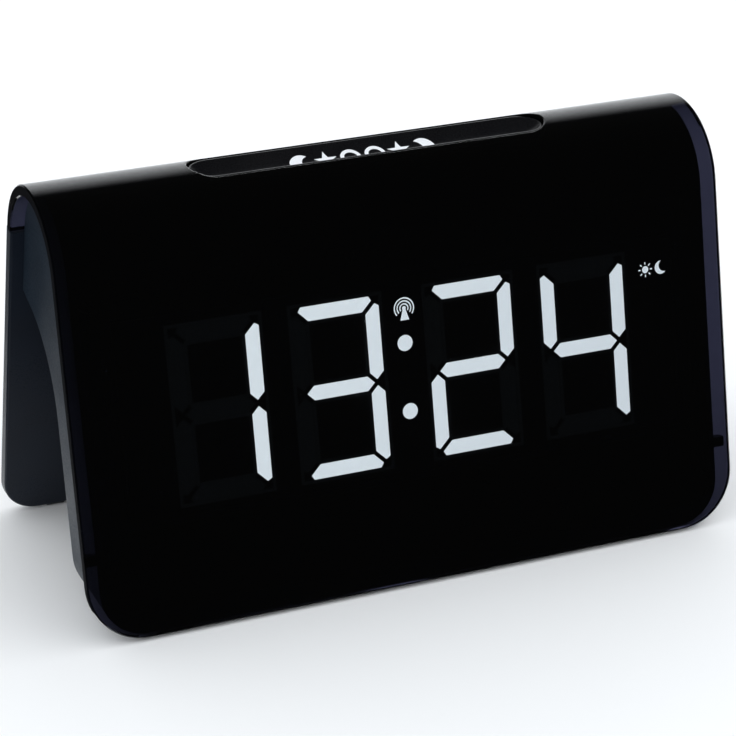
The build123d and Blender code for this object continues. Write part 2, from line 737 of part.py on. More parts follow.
with BuildPart() as capacitors:
    with BuildSketch(front.offset(-BACK_OF_BOARD)):
        with Locations((30, 38), (38.5, 38), (50, 38)):
            Circle(3.15)
    extrude(amount=-4.8)
    can_rims = capacitors.edges().filter_by(GeomType.CIRCLE)
    fillet(can_rims.group_by(Axis(front.origin, front.z_dir))[0], 0.5)
capacitors.part.label = "capacitors"
save(capacitors.part, "capacitors")

with BuildPart() as crystal:
    with BuildSketch(front.offset(-BACK_OF_BOARD)):
        with Locations((-40, 46)):
            SlotOverall(11, 4.6, rotation=90)
    extrude(amount=-3.4)
crystal.part.label = "crystal"
save(crystal.part, "crystal")

with BuildPart() as radio_board:
    with BuildSketch(front.offset(-BACK_OF_BOARD - 1.6)):
        with Locations((-54, 60)):
            Rectangle(16, 10)
    extrude(amount=-1)
    with BuildSketch(front.offset(-BACK_OF_BOARD)):
        with Locations((-54, 57)):
            with GridLocations(2.54, 0, 5, 1):
                Rectangle(0.64, 0.64)
    extrude(amount=-3.4)
radio_board.part.label = "radio_board"
save(radio_board.part, "radio_board")

# ---------------------------------------------------------------- time-signal aerial
with BuildPart() as aerial_rod:
    with BuildSketch(Plane.YZ.offset(-31)):
        with Locations(at_front(*AERIAL)):
            Circle(4.0)
    extrude(amount=62)
aerial_rod.part.label = "aerial_rod"
save(aerial_rod.part, "aerial_rod")

with BuildPart() as aerial_coil:
    with BuildSketch(Plane.YZ.offset(-9)):
        with Locations(at_front(*AERIAL)):
            Circle(5.1)
            Circle(4.05, mode=Mode.SUBTRACT)
    extrude(amount=18)
aerial_coil.part.label = "aerial_coil"
save(aerial_coil.part, "aerial_coil")

# ---------------------------------------------------------------- power inlet
JACK_FRONT = 9.4         # front of the inlet's block, behind the front face
JACK_MOUTH = BODY_DEPTH + 0.4
JACK_BORE = 2.85
JACK_BORE_DEPTH = 9.5
PIN_ROOT = 1.4
PIN_ROOT_LENGTH = 2.0
INLET_PIN_R = 1.0
with BuildPart() as power_inlet:
    with BuildSketch(front.offset(-JACK_FRONT)):
        with Locations((JACK_X, LOW_V)):
            Rectangle(9, 10)
    extrude(amount=-(BODY_DEPTH - WALL - JACK_FRONT))
    with BuildSketch(front.offset(-15)):
        with Locations((JACK_X, LOW_V)):
            Circle(3.9)
    extrude(amount=-(JACK_MOUTH - 15))
    with BuildSketch(front.offset(-JACK_MOUTH)):
        with Locations((JACK_X, LOW_V)):
            Circle(JACK_BORE)
    extrude(amount=JACK_BORE_DEPTH, mode=Mode.SUBTRACT)
    with BuildSketch(front.offset(-9)):
        with Locations((JACK_X, LOW_V)):
            Circle(PIN_ROOT)
    extrude(amount=-4, mode=Mode.SUBTRACT)
power_inlet.part.label = "power_inlet"
save(power_inlet.part, "power_inlet")

with BuildPart() as inlet_pin:
    with BuildSketch(front.offset(-JACK_FRONT)):
        with Locations((JACK_X, LOW_V)):
            Circle(PIN_ROOT)
    extrude(amount=-PIN_ROOT_LENGTH)
    with BuildSketch(front.offset(-JACK_FRONT - PIN_ROOT_LENGTH)):
        with Locations((JACK_X, LOW_V)):
            Circle(INLET_PIN_R)
    extrude(amount=-(BODY_DEPTH - 0.8 - JACK_FRONT - PIN_ROOT_LENGTH))
    fillet(inlet_pin.edges().filter_by(GeomType.CIRCLE).group_by(Axis.Y)[-1], 0.4)
inlet_pin.part.label = "inlet_pin"
save(inlet_pin.part, "inlet_pin")

# ---------------------------------------------------------------- back-up cell
with BuildPart() as cell_holder:
    with BuildSketch(front.offset(-BACK_OF_BOARD)):
        with Locations((CELL_X, CELL_V + 1.2)):
            Rectangle(14, 8)
        with Locations((CELL_X, CELL_V)):
            Circle(12.6)
    extrude(amount=-0.9)
    with BuildSketch(front.offset(-BACK_OF_BOARD)):
        with Locations((CELL_X, CELL_V)):
            Circle(12.9)
            Circle(10.4, mode=Mode.SUBTRACT)
    extrude(amount=-3.7)
cell_holder.part.label = "cell_holder"
save(cell_holder.part, "cell_holder")

with BuildPart() as cell_contact:
    with BuildSketch(front.offset(-BACK_OF_BOARD - 0.9)):
        with Locations((CELL_X, CELL_V)):
            Rectangle(12, 3)
            Circle(3.4)
    extrude(amount=-0.3)
cell_contact.part.label = "cell_contact"
save(cell_contact.part, "cell_contact")

with BuildPart() as backup_cell:
    with BuildSketch(front.offset(-BACK_OF_BOARD - 1.2)):
        with Locations((CELL_X, CELL_V)):
            Circle(8.4)
    extrude(amount=-0.7)
    with BuildSketch(front.offset(-BACK_OF_BOARD - 1.5)):
        with Locations((CELL_X, CELL_V)):
            Circle(10.0)
    extrude(amount=-2.5)
    cell_rims = backup_cell.edges().filter_by(GeomType.CIRCLE)
    fillet(cell_rims.group_by(Axis(front.origin, front.z_dir))[0], 0.4)
backup_cell.part.label = "backup_cell"
save(backup_cell.part, "backup_cell")

with BuildPart() as cell_door:
    with BuildSketch(front.offset(-BODY_DEPTH)):
        with Locations((CELL_X, CELL_V)):
            Circle(11.0)
    extrude(amount=DOOR_T)
    with BuildSketch(front.offset(-BODY_DEPTH + DOOR_T)):
        with Locations((CELL_X, CELL_V)):
            Circle(9.4)
            with PolarLocations(10.4, 2):
                Rectangle(3.6, 4.4)
    extrude(amount=0.7)
    with BuildSketch(front.offset(-BODY_DEPTH)):
        with Locations((CELL_X, CELL_V)):
            SlotOverall(13, 2.0)
    extrude(amount=1.0, mode=Mode.SUBTRACT)
cell_door.part.label = "cell_door"
save(cell_door.part, "cell_door")

# ---------------------------------------------------------------- buzzer
with BuildPart() as buzzer:
    with BuildSketch(front.offset(-BODY_DEPTH + WALL)):
        with Locations((BUZZER_X, LOW_V)):
            Circle(6.4)
            Circle(1.2, mode=Mode.SUBTRACT)
    extrude(amount=5.6)
    with BuildSketch(front.offset(-BODY_DEPTH + WALL + 1)):
        with Locations((BUZZER_X, LOW_V)):
            Circle(5.6)
    extrude(amount=3.6)
buzzer.part.label = "buzzer"
save(buzzer.part, "buzzer")


# ---------------------------------------------------------------- wiring
def wire_path(points):
    """Smooth line through (x, up the front face, depth) points."""
    path = [front.from_local_coords(Vector(x, v, -depth)) for x, v, depth in points]
    with BuildLine(mode=Mode.PRIVATE) as line:
        Spline(*path)
    return line.edges()[0]


def wire_section(line, radius):
    with BuildSketch(Plane(origin=line @ 0, z_dir=line % 0), mode=Mode.PRIVATE) as section:
        Circle(radius)
    return section.sketch


with BuildPart() as inlet_wires:
    for x in (-2, 2):
        at = JACK_X + x
        line = wire_path([(at, LOW_V, 8.6), (at, LOW_V + 2, 7.6), (at, 20, 8.5), (at, 23.2, 10.8)])
        sweep(wire_section(line, 0.55), path=line)
inlet_wires.part.label = "inlet_wires"
save(inlet_wires.part, "inlet_wires")

with BuildPart() as buzzer_wires:
    for x in (-2, 2):
        at = BUZZER_X + x
        line = wire_path([(at, LOW_V, 12.8), (at, LOW_V + 2, 9.5), (at, 20, 9), (at, 23.2, 10.8)])
        sweep(wire_section(line, 0.45), path=line)
buzzer_wires.part.label = "buzzer_wires"
save(buzzer_wires.part, "buzzer_wires")

with BuildPart() as aerial_wires:
    for x in (-11, 11):
        line = wire_path([(x, AERIAL[0], 14.2), (x, 71, 15.6), (x, 66, 15.4), (x, 64, 13.3)])
        sweep(wire_section(line, 0.3), path=line)
aerial_wires.part.label = "aerial_wires"
save(aerial_wires.part, "aerial_wires")

with BuildPart() as ribbon_cable:
    with BuildSketch(Plane.YZ.offset(-14)):
        with BuildLine():
            Spline(
                at_leg(11.0, SEAT_R - 1.7),
                at_leg(11.8, SEAT_R - 4),
                at_front(64, 18.5),
                at_front(60.5, 15.8),
                at_front(59.5, BACK_OF_BOARD + 0.2),
            )
        trace(line_width=0.7)
    extrude(amount=12)
ribbon_cable.part.label = "ribbon_cable"
save(ribbon_cable.part, "ribbon_cable")


# ---------------------------------------------------------------- screws
def discs(plane, places, radius):
    with BuildSketch(plane, mode=Mode.PRIVATE) as faces:
        with Locations(*places):
            Circle(radius)
    return faces.sketch


def crosses(plane, places):
    with BuildSketch(plane, mode=Mode.PRIVATE) as faces:
        with Locations(*places):
            Rectangle(2.6, 0.6)
            Rectangle(0.6, 2.6)
    return faces.sketch


def screw_set(plane, places, length):
    """Pan-head cross-recess screws seated on the plane, heads outwards."""
    extrude(discs(plane, places, HEAD_R), amount=HEAD_H)
    extrude(discs(plane, places, SHANK_R), amount=-length)
    extrude(crosses(plane.offset(HEAD_H), places), amount=-0.8, mode=Mode.SUBTRACT)


def behind(depth):
    """Plane behind the front face that looks out to the rear."""
    flat = front.offset(-depth)
    return Plane(origin=flat.origin, x_dir=(-1, 0, 0), z_dir=-flat.z_dir)


def mirrored(places):
    return [(-x, y) for x, y in places]


with BuildPart() as case_screws:
    screw_set(behind(BODY_DEPTH - 1.3), mirrored(CASE_POSTS), 8)
case_screws.part.label = "case_screws"
save(case_screws.part, "case_screws")

with BuildPart() as board_screws:
    screw_set(behind(BACK_OF_BOARD), mirrored(BOARD_POSTS), 6)
board_screws.part.label = "board_screws"
save(board_screws.part, "board_screws")

with BuildPart() as leg_screws:
    screw_set(rear.offset(LEG_R - 1.9), LEG_SCREWS, 7.4)
leg_screws.part.label = "leg_screws"
save(leg_screws.part, "leg_screws")

with BuildPart() as inner_screws:
    under = Plane(origin=(0, BEND_Y, FRAME_TOP - WALL), x_dir=(1, 0, 0), z_dir=(0, 0, -1))
    screw_set(under, [(-FRAME_SCREW_X, 0), (FRAME_SCREW_X, 0)], 7)
    inside = Plane(origin=rear.offset(SEAT_R - 1.2).origin, x_dir=(1, 0, 0), z_dir=-rear.z_dir)
    screw_set(inside, BOARD_SEATS, 6)
inner_screws.part.label = "inner_screws"
save(inner_screws.part, "inner_screws")
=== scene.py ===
import json
import math

import bmesh
import bpy
from mathutils import Matrix, Vector


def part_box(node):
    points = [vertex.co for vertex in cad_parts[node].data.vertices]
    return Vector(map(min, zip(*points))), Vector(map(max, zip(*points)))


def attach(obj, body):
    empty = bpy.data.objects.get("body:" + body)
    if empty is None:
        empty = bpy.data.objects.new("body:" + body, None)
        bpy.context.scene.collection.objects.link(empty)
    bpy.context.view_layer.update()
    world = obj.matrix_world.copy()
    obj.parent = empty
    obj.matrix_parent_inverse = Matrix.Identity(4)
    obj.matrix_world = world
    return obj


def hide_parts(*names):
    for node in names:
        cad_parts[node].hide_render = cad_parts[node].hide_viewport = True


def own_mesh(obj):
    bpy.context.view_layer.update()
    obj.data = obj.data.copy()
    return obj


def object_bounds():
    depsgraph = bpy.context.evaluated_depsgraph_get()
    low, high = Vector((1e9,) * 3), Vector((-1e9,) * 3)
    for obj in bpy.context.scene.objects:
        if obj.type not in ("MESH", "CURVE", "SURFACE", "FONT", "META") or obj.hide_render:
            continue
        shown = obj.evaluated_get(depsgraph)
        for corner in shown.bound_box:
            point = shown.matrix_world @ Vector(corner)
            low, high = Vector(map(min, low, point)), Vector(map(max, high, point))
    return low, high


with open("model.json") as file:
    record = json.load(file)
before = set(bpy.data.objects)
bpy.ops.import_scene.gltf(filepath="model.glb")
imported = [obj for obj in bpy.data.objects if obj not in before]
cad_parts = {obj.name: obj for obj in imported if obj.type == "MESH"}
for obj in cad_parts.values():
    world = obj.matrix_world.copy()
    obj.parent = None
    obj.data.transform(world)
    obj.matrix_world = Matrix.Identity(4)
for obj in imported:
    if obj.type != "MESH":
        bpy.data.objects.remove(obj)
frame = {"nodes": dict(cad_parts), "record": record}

cad_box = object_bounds()
NODES = frame["nodes"]
MM = 0.001

# ---------------------------------------------------------------- sizes of the clock
LEG_LEAN = math.radians(14.5)
LEG_OUT = Vector((0, math.cos(LEG_LEAN), math.sin(LEG_LEAN)))      # out of the leg's outer face
LEG_UP = Vector((0, -math.sin(LEG_LEAN), math.cos(LEG_LEAN)))      # up the slope of the leg
FRONT_LEAN = math.radians(11.75)
FRONT_OUT = Vector((0, -math.cos(FRONT_LEAN), math.sin(FRONT_LEAN)))

KEY_LOW, KEY_HIGH = (Vector(corner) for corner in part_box("snooze_key"))
KEY_WIDTH = 10.2 * MM
KEY_LAND = 0.3 * MM      # flat strip beside the scoop
SCOOP_R = 5.9 * MM
KEY_MIDDLE = (KEY_LOW + KEY_HIGH) / 2
SCOOP_Z = KEY_HIGH.z + math.sqrt(SCOOP_R ** 2 - (KEY_WIDTH / 2 - KEY_LAND) ** 2)

INK = 0.02 * MM          # thickness of printed marks and paint
AIR = 0.005 * MM         # between a surface and the ink on it


# ---------------------------------------------------------------- materials
class Paint:
    """One Principled material, with short calls for the nodes that feed it."""

    def __init__(self, name, **fixed):
        self.material = bpy.data.materials.new(name)
        self.material.use_nodes = True
        self.tree = self.material.node_tree
        self.shader = self.tree.nodes["Principled BSDF"]
        for socket, value in fixed.items():
            self.shader.inputs[socket.replace("_", " ")].default_value = value
        self.place = self.add("TexCoord").outputs["Object"]

    def add(self, kind, **settings):
        node = self.tree.nodes.new("ShaderNode" + kind)
        for name, value in settings.items():
            setattr(node, name, value)
        return node

    def feed(self, socket, source):
        if isinstance(source, bpy.types.NodeSocket):
            self.tree.links.new(source, socket)
        else:
            socket.default_value = source

    def stretched(self, scale):
        mapping = self.add("Mapping")
        self.feed(mapping.inputs["Vector"], self.place)
        mapping.inputs["Scale"].default_value = scale
        return mapping.outputs["Vector"]

    def noise(self, size, detail=3.0, stretch=None):
        """Cloudy noise with patches about size metres across, from 0 to 1."""
        node = self.add("TexNoise")
        self.feed(node.inputs["Vector"], self.stretched(stretch) if stretch else self.place)
        node.inputs["Scale"].default_value = 1 / size
        node.inputs["Detail"].default_value = detail
        return node.outputs["Fac"]

    def cells(self, size, feature="F1"):
        """Distance to the nearest of many scattered points."""
        node = self.add("TexVoronoi", feature=feature)
        self.feed(node.inputs["Vector"], self.place)
        node.inputs["Scale"].default_value = 1 / size
        return node.outputs["Distance"]

    def spread(self, source, low, high, start=0.3, stop=0.7):
        """The source's range from start to stop, stretched from low to high."""
        node = self.add("MapRange")
        self.feed(node.inputs["Value"], source)
        limits = {"From Min": start, "From Max": stop, "To Min": low, "To Max": high}
        for name, value in limits.items():
            node.inputs[name].default_value = value
        return node.outputs["Result"]

    def mix(self, factor, dark, light):
        """A colour between two, by the factor."""
        node = self.add("Mix", data_type="RGBA")
        self.feed(node.inputs["Factor"], factor)
        self.feed(node.inputs["A"], dark)
        self.feed(node.inputs["B"], light)
        return node.outputs["Result"]

    def math(self, operation, a, b=0.0):
        node = self.add("Math", operation=operation)
        self.feed(node.inputs[0], a)
        self.feed(node.inputs[1], b)
        return node.outputs[0]

    def axis(self, name):
        """One coordinate of the surface point, in metres."""
        node = self.add("SeparateXYZ")
        self.feed(node.inputs[0], self.place)
        return node.outputs[name]

    def colour(self, source):
        self.feed(self.shader.inputs["Base Color"], source)

    def roughness(self, source):
        self.feed(self.shader.inputs["Roughness"], source)

    def relief(self, height, depth, edge=0.0):
        """Bump of the given depth in metres, over edges rounded by edge metres."""
        bump = self.add("Bump")
        self.feed(bump.inputs["Height"], height)
        bump.inputs["Distance"].default_value = depth
        bump.inputs["Strength"].default_value = 1.0
        if edge:
            bevel = self.add("Bevel", samples=4)
            bevel.inputs["Radius"].default_value = edge
            self.feed(bump.inputs["Normal"], bevel.outputs["Normal"])
        self.feed(self.shader.inputs["Normal"], bump.outputs["Normal"])


def rgb(red, green, blue):
    return (red, green, blue, 1.0)


def moulded(name, dark, light, rough, grain=0.25 * MM, depth=0.02 * MM, edge=0.15 * MM, gloss=0.5):
    """Moulded plastic or rubber: spark-eroded grain, slight mottling, small rounded edges."""
    paint = Paint(name, Specular_IOR_Level=gloss)
    cloud = paint.noise(9 * MM, 4)
    fine = paint.noise(grain, 2)
    paint.colour(paint.mix(paint.spread(cloud, 0, 1), rgb(*dark), rgb(*light)))
    scuffs = paint.spread(paint.noise(14 * MM, 6), -0.04, 0.04)
    paint.roughness(paint.math("ADD", paint.spread(fine, rough - 0.07, rough + 0.07), scuffs))
    paint.relief(fine, depth, edge)
    return paint.material


def metal(name, dark, light, rough, grain=0.4 * MM, depth=0.004 * MM, stretch=None):
    """Plated or drawn metal, with fine marks and faint tarnish."""
    paint = Paint(name, Metallic=1.0)
    cloud = paint.noise(2.5 * MM, 5)
    marks = paint.noise(grain, 3, stretch)
    paint.colour(paint.mix(paint.spread(cloud, 0, 1), rgb(*dark), rgb(*light)))
    paint.roughness(paint.spread(marks, rough - 0.08, rough + 0.08))
    paint.relief(marks, depth, 0.05 * MM)
    return paint.material


def smoked_acrylic():
    """Dark clear sheet, tinted through its thickness, with a very faint waviness and wiping marks."""
    paint = Paint("smoked_acrylic", Base_Color=rgb(1.0, 1.0, 1.0), Transmission_Weight=1.0, IOR=1.49)
    wiped = paint.noise(6 * MM, 5, (1.0, 3.0, 3.0))
    paint.roughness(paint.spread(wiped, 0.0, 0.03))
    paint.relief(paint.noise(22 * MM, 1), 0.02 * MM, 0.12 * MM)
    tint = paint.add("VolumeAbsorption")
    tint.inputs["Color"].default_value = rgb(0.10, 0.11, 0.25)
    tint.inputs["Density"].default_value = 1600.0
    output = next(node for node in paint.tree.nodes if node.type == "OUTPUT_MATERIAL")
    paint.feed(output.inputs["Volume"], tint.outputs["Volume"])
    return paint.material


def lit_guide():
    """Light guide over a lit diode: milky white and glowing. The lens's tint turns the light white."""
    paint = Paint("lit_guide", Emission_Color=rgb(0.93, 1.0, 0.60), Emission_Strength=30.0)
    cloud = paint.noise(1.2 * MM, 3)
    paint.colour(paint.mix(paint.spread(cloud, 0, 1), rgb(0.72, 0.76, 0.78), rgb(0.86, 0.88, 0.88)))
    paint.roughness(paint.spread(cloud, 0.35, 0.5))
    paint.relief(cloud, 0.02 * MM)
    return paint.material


def dark_guide(name, glow):
    """Milky plastic with its diode off; a slight glow stands for light from its neighbours."""
    paint = Paint(name, Emission_Color=rgb(0.8, 1.0, 0.66), Emission_Strength=glow)
    cloud = paint.noise(1.2 * MM, 3)
    paint.colour(paint.mix(paint.spread(cloud, 0, 1), rgb(0.05, 0.055, 0.055), rgb(0.07, 0.075, 0.075)))
    paint.roughness(paint.spread(cloud, 0.4, 0.55))
    paint.relief(cloud, 0.02 * MM)
    return paint.material


def board_green():
    """Circuit board: solder mask over copper tracks, with the mask standing a little over them."""
    paint = Paint("board_green", Coat_Weight=0.3, Coat_Roughness=0.15)
    tracks = paint.spread(paint.cells(2.2 * MM, "DISTANCE_TO_EDGE"), 0, 1, 0.05, 0.09)
    cloud = paint.noise(7 * MM, 4)
    mask = paint.mix(paint.spread(cloud, 0, 1), rgb(0.006, 0.075, 0.028), rgb(0.010, 0.105, 0.040))
    paint.colour(paint.mix(tracks, rgb(0.030, 0.170, 0.060), mask))
    paint.roughness(paint.spread(cloud, 0.3, 0.42))
    paint.relief(tracks, 0.02 * MM, 0.05 * MM)
    return paint.material


def printed_white():
    """Pad-printed white ink: thin at the edges, with a slightly uneven coat."""
    paint = Paint("printed_white")
    coat = paint.noise(0.35 * MM, 4)
    paint.colour(paint.mix(paint.spread(coat, 0, 1), rgb(0.80, 0.82, 0.85), rgb(0.90, 0.92, 0.94)))
    paint.roughness(paint.spread(coat, 0.45, 0.65))
    paint.relief(coat, 0.006 * MM)
    return paint.material


def painted_edge_shade():
    """Matt black coat on the sawn edges of the lens: painted shade that keeps them dark."""
    paint = Paint("painted_edge_shade", Specular_IOR_Level=0.05)
    coat = paint.noise(0.5 * MM, 4)
    paint.colour(paint.mix(paint.spread(coat, 0, 1), rgb(0.002, 0.002, 0.003), rgb(0.004, 0.004, 0.006)))
    paint.roughness(paint.spread(coat, 0.55, 0.75))
    paint.relief(coat, 0.01 * MM)
    return paint.material


def wire_cover(name, dark, light):
    """Smooth plastic sleeve of a wire."""
    return moulded(name, dark, light, 0.42, grain=0.5 * MM, depth=0.006 * MM, edge=0.0)


def copper_coil():
    """Enamelled wire wound side by side along the rod."""
    paint = Paint("copper_coil", Metallic=0.9)
    turns = paint.math("SINE", paint.math("MULTIPLY", paint.axis("X"), math.tau / (0.22 * MM)))
    cloud = paint.noise(2 * MM, 3)
    paint.colour(paint.mix(paint.spread(cloud, 0, 1), rgb(0.42, 0.14, 0.05), rgb(0.62, 0.24, 0.09)))
    paint.roughness(paint.spread(cloud, 0.25, 0.38))
    paint.relief(turns, 0.05 * MM)
    return paint.material


def foam_tape():
    """Black foam with fine pores."""
    paint = Paint("foam_tape")
    pores = paint.cells(0.25 * MM)
    shade = paint.spread(pores, 0, 1, 0.1, 0.6)
    paint.colour(paint.mix(shade, rgb(0.008, 0.008, 0.009), rgb(0.02, 0.02, 0.022)))
    paint.roughness(paint.spread(pores, 0.8, 0.95))
    paint.relief(pores, 0.05 * MM)
    return paint.material


FINISHES = {
    "smoked_acrylic": smoked_acrylic(),
    "foam_tape": foam_tape(),
    "housing_plastic": moulded(
        "housing_plastic", (0.009, 0.016, 0.026), (0.013, 0.022, 0.034), 0.42,
        grain=0.35 * MM, depth=0.06 * MM, gloss=0.3,
    ),
    "cover_plastic": moulded(
        "cover_plastic", (0.009, 0.013, 0.019), (0.013, 0.018, 0.025), 0.45, gloss=0.35,
    ),
    "leg_plastic": moulded("leg_plastic", (0.006, 0.009, 0.016), (0.007, 0.011, 0.019), 0.34, gloss=0.25),
    "key_plastic": moulded(
        "key_plastic", (0.002, 0.002, 0.003), (0.004, 0.004, 0.005), 0.26,
        grain=0.18 * MM, depth=0.004 * MM,
    ),
    "button_rubber": moulded(
        "button_rubber", (0.016, 0.016, 0.017), (0.024, 0.024, 0.025), 0.58,
        grain=0.2 * MM, depth=0.012 * MM,
    ),
    "slider_plastic": moulded("slider_plastic", (0.016, 0.016, 0.017), (0.024, 0.024, 0.026), 0.42),
    "foot_rubber": moulded(
        "foot_rubber", (0.012, 0.012, 0.012), (0.020, 0.020, 0.020), 0.75,
        grain=0.3 * MM, depth=0.03 * MM,
    ),
    "inner_plastic": moulded("inner_plastic", (0.022, 0.022, 0.024), (0.032, 0.032, 0.034), 0.5),
    "reflector_plastic": moulded(
        "reflector_plastic", (0.012, 0.013, 0.014), (0.018, 0.019, 0.021), 0.6, edge=0.0,
    ),
    "lit_guide": lit_guide(),
    # The unlit guides and the milky surround glow faintly: painted light for what spills over from the
    # lit bars.
    "dark_guide": dark_guide("dark_guide", 0.06),
    "milky_surround_painted_glow": dark_guide("milky_surround_painted_glow", 0.055),
    "board_green": board_green(),
    "led_package": moulded(
        "led_package", (0.78, 0.76, 0.55), (0.86, 0.84, 0.66), 0.35,
        grain=0.3 * MM, depth=0.005 * MM, edge=0.0,
    ),
    "chip_black": moulded(
        "chip_black", (0.010, 0.010, 0.011), (0.020, 0.020, 0.021), 0.5,
        grain=0.1 * MM, depth=0.01 * MM,
    ),
    "can_metal": metal("can_metal", (0.62, 0.62, 0.63), (0.78, 0.78, 0.79), 0.28),
    "ferrite": moulded(
        "ferrite", (0.020, 0.019, 0.019), (0.050, 0.048, 0.047), 0.55,
        grain=0.15 * MM, depth=0.03 * MM, edge=0.3 * MM,
    ),
    "copper_coil": copper_coil(),
    "contact_metal": metal("contact_metal", (0.66, 0.62, 0.52), (0.84, 0.80, 0.70), 0.24),
    "spring_steel": metal("spring_steel", (0.52, 0.52, 0.53), (0.68, 0.68, 0.69), 0.26),
    "cell_steel": metal(
        "cell_steel", (0.66, 0.66, 0.67), (0.82, 0.82, 0.83), 0.22,
        grain=0.3 * MM, stretch=(8, 1, 1),
    ),
    "screw_steel": metal("screw_steel", (0.34, 0.34, 0.35), (0.50, 0.50, 0.51), 0.34),
    "wire_red": wire_cover("wire_red", (0.35, 0.012, 0.010), (0.50, 0.022, 0.016)),
    "wire_grey": wire_cover("wire_grey", (0.16, 0.16, 0.17), (0.24, 0.24, 0.25)),
    "printed_white": printed_white(),
    # painted shade: a matt black coat that keeps the sawn edges of the lens dark
    "painted_edge_shade": painted_edge_shade(),
}

for part in frame["record"]["subparts"]:
    for place in NODES[part["node"]].material_slots:
        place.material = FINISHES[part["material_slot"]]


# ---------------------------------------------------------------- printed marks
def circle_points(radius, centre=(0.0, 0.0), start=0.0, turn=360.0, steps=32):
    """Points round a circle or part of one, angles in degrees."""
    whole = abs(turn) >= 360
    angles = [math.radians(start + turn * i / steps) for i in range(steps if whole else steps + 1)]
    return [(centre[0] + radius * math.cos(a), centre[1] + radius * math.sin(a)) for a in angles]


def ring(radius, width, start=0.0, turn=360.0):
    """A band along a circle or part of one, as short four-sided pieces."""
    outer = circle_points(radius + width / 2, start=start, turn=turn)
    inner = circle_points(radius - width / 2, start=start, turn=turn)
    count = len(outer) if abs(turn) >= 360 else len(outer) - 1
    pairs = [(i, (i + 1) % len(outer)) for i in range(count)]
    return [[outer[i], outer[j], inner[j], inner[i]] for i, j in pairs]


def bar(start, end, width):
    """A straight stroke with square ends."""
    a, b = Vector(start), Vector(end)
    side = (b - a).normalized().orthogonal() * width / 2
    return [tuple(p) for p in (a + side, a - side, b - side, b + side)]


def crescent(radius, steps=20):
    """A young moon, as short four-sided pieces between its two curves, which share both end points."""
    horn_angle = 50
    outer = circle_points(radius, start=horn_angle, turn=360 - 2 * horn_angle, steps=steps)
    horn = Vector(outer[0])
    inner_x = horn.x + math.sqrt((radius * 0.84) ** 2 - horn.y ** 2) * 0.62
    inner_r = math.hypot(horn.x - inner_x, horn.y)
    inner_angle = math.degrees(math.atan2(horn.y, horn.x - inner_x))
    inner = circle_points(inner_r, (inner_x, 0.0), inner_angle, 360 - 2 * inner_angle, steps)
    return [[outer[i], outer[i + 1], inner[i + 1], inner[i]] for i in range(steps)]


def star(radius, points=5, notch=0.42):
    """A star as one kite for each of its points; its notches lie at notch times the radius."""
    tips = circle_points(radius, start=90, steps=points)
    notches = circle_points(radius * notch, start=90 + 180 / points, steps=points)
    return [[(0.0, 0.0), notches[i - 1], tips[i], notches[i]] for i in range(points)]


def moved(faces, x, y):
    return [[(px + x, py + y) for px, py in face] for face in faces]


def finished_layer(mesh, name, finish, body):
    """The mesh as an object with its finish, riding on a body."""
    data = bpy.data.meshes.new(name)
    mesh.to_mesh(data)
    mesh.free()
    piece = bpy.data.objects.new(name, data)
    bpy.context.scene.collection.objects.link(piece)
    data.materials.append(FINISHES[finish])
    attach(piece, body)
    return piece


def thickened(mesh, place):
    """Gives a sheet its second side; place(spot, height) says where each of its points goes."""
    raised = bmesh.ops.extrude_face_region(mesh, geom=mesh.faces[:])["geom"]
    top = {v for v in raised if isinstance(v, bmesh.types.BMVert)}
    for vertex in mesh.verts:
        vertex.co = place(vertex.co, INK if vertex in top else 0.0)
    bmesh.ops.recalc_face_normals(mesh, faces=mesh.faces)


def print_marks(name, faces, lay, body, rows=0.4 * MM, finish="printed_white"):
    """A thin layer: flat faces cut into narrow rows, then laid on the surface by lay(x, y, height)."""
    mesh = bmesh.new()
    for face in faces:
        corners = [mesh.verts.new((x, y, 0)) for x, y in face]
        mesh.faces.new(corners)
    bmesh.ops.remove_doubles(mesh, verts=mesh.verts, dist=0.001 * MM)
    lowest = min(v.co.y for v in mesh.verts)
    highest = max(v.co.y for v in mesh.verts)
    for i in range(1, int((highest - lowest) / rows) + 1):
        everything = mesh.verts[:] + mesh.edges[:] + mesh.faces[:]
        bmesh.ops.bisect_plane(
            mesh, geom=everything, dist=1e-7, plane_co=(0, lowest + i * rows, 0), plane_no=(0, 1, 0)
        )
    bmesh.ops.recalc_face_normals(mesh, faces=mesh.faces)
    thickened(mesh, lambda spot, height: lay(spot.x, spot.y, height))
    return finished_layer(mesh, name, finish, body)


def on_scoop(x, y, height):
    """A place in the scoop of the key: x along it, y up its back slope."""
    angle = y / SCOOP_R
    radius = SCOOP_R - AIR - height
    return Vector((x, KEY_MIDDLE.y + radius * math.sin(angle), SCOOP_Z - radius * math.cos(angle)))


KEY_MARK_X = -0.8 * MM           # middle of the row
KEY_MARK_STEP = 5.6 * MM
KEY_MARK_RISE = 1.1 * MM         # up the back slope of the scoop
moon, sparkle, circle = crescent(2.6 * MM), star(2.7 * MM), ring(1.9 * MM, 0.85 * MM)
turned_moon = [[(-x, y) for x, y in reversed(face)] for face in moon]
row = (moon, sparkle, circle, circle, sparkle, turned_moon)
row_start = KEY_MARK_X - KEY_MARK_STEP * (len(row) - 1) / 2
key_marks = []
for i, symbol in enumerate(row):
    key_marks += moved(symbol, row_start + i * KEY_MARK_STEP, KEY_MARK_RISE)
print_marks("key_symbols", key_marks, on_scoop, "snooze")

LEG_FACE = max(v.co.dot(LEG_OUT) for v in NODES["rear_leg"].data.vertices)


def middle(node):
    low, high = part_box(node)
    return (Vector(low) + Vector(high)) / 2


def on_leg(x, y, height):
    """A place on the outer face of the leg: x to the right seen from behind, y up the slope."""
    return Vector((-x, 0, 0)) + LEG_UP * y + LEG_OUT * (LEG_FACE + AIR + height)


LINE = 0.28 * MM         # stroke of the small symbols
TRIANGLE = [(-1.3 * MM, -0.9 * MM), (1.3 * MM, -0.9 * MM), (0.0, 1.3 * MM)]


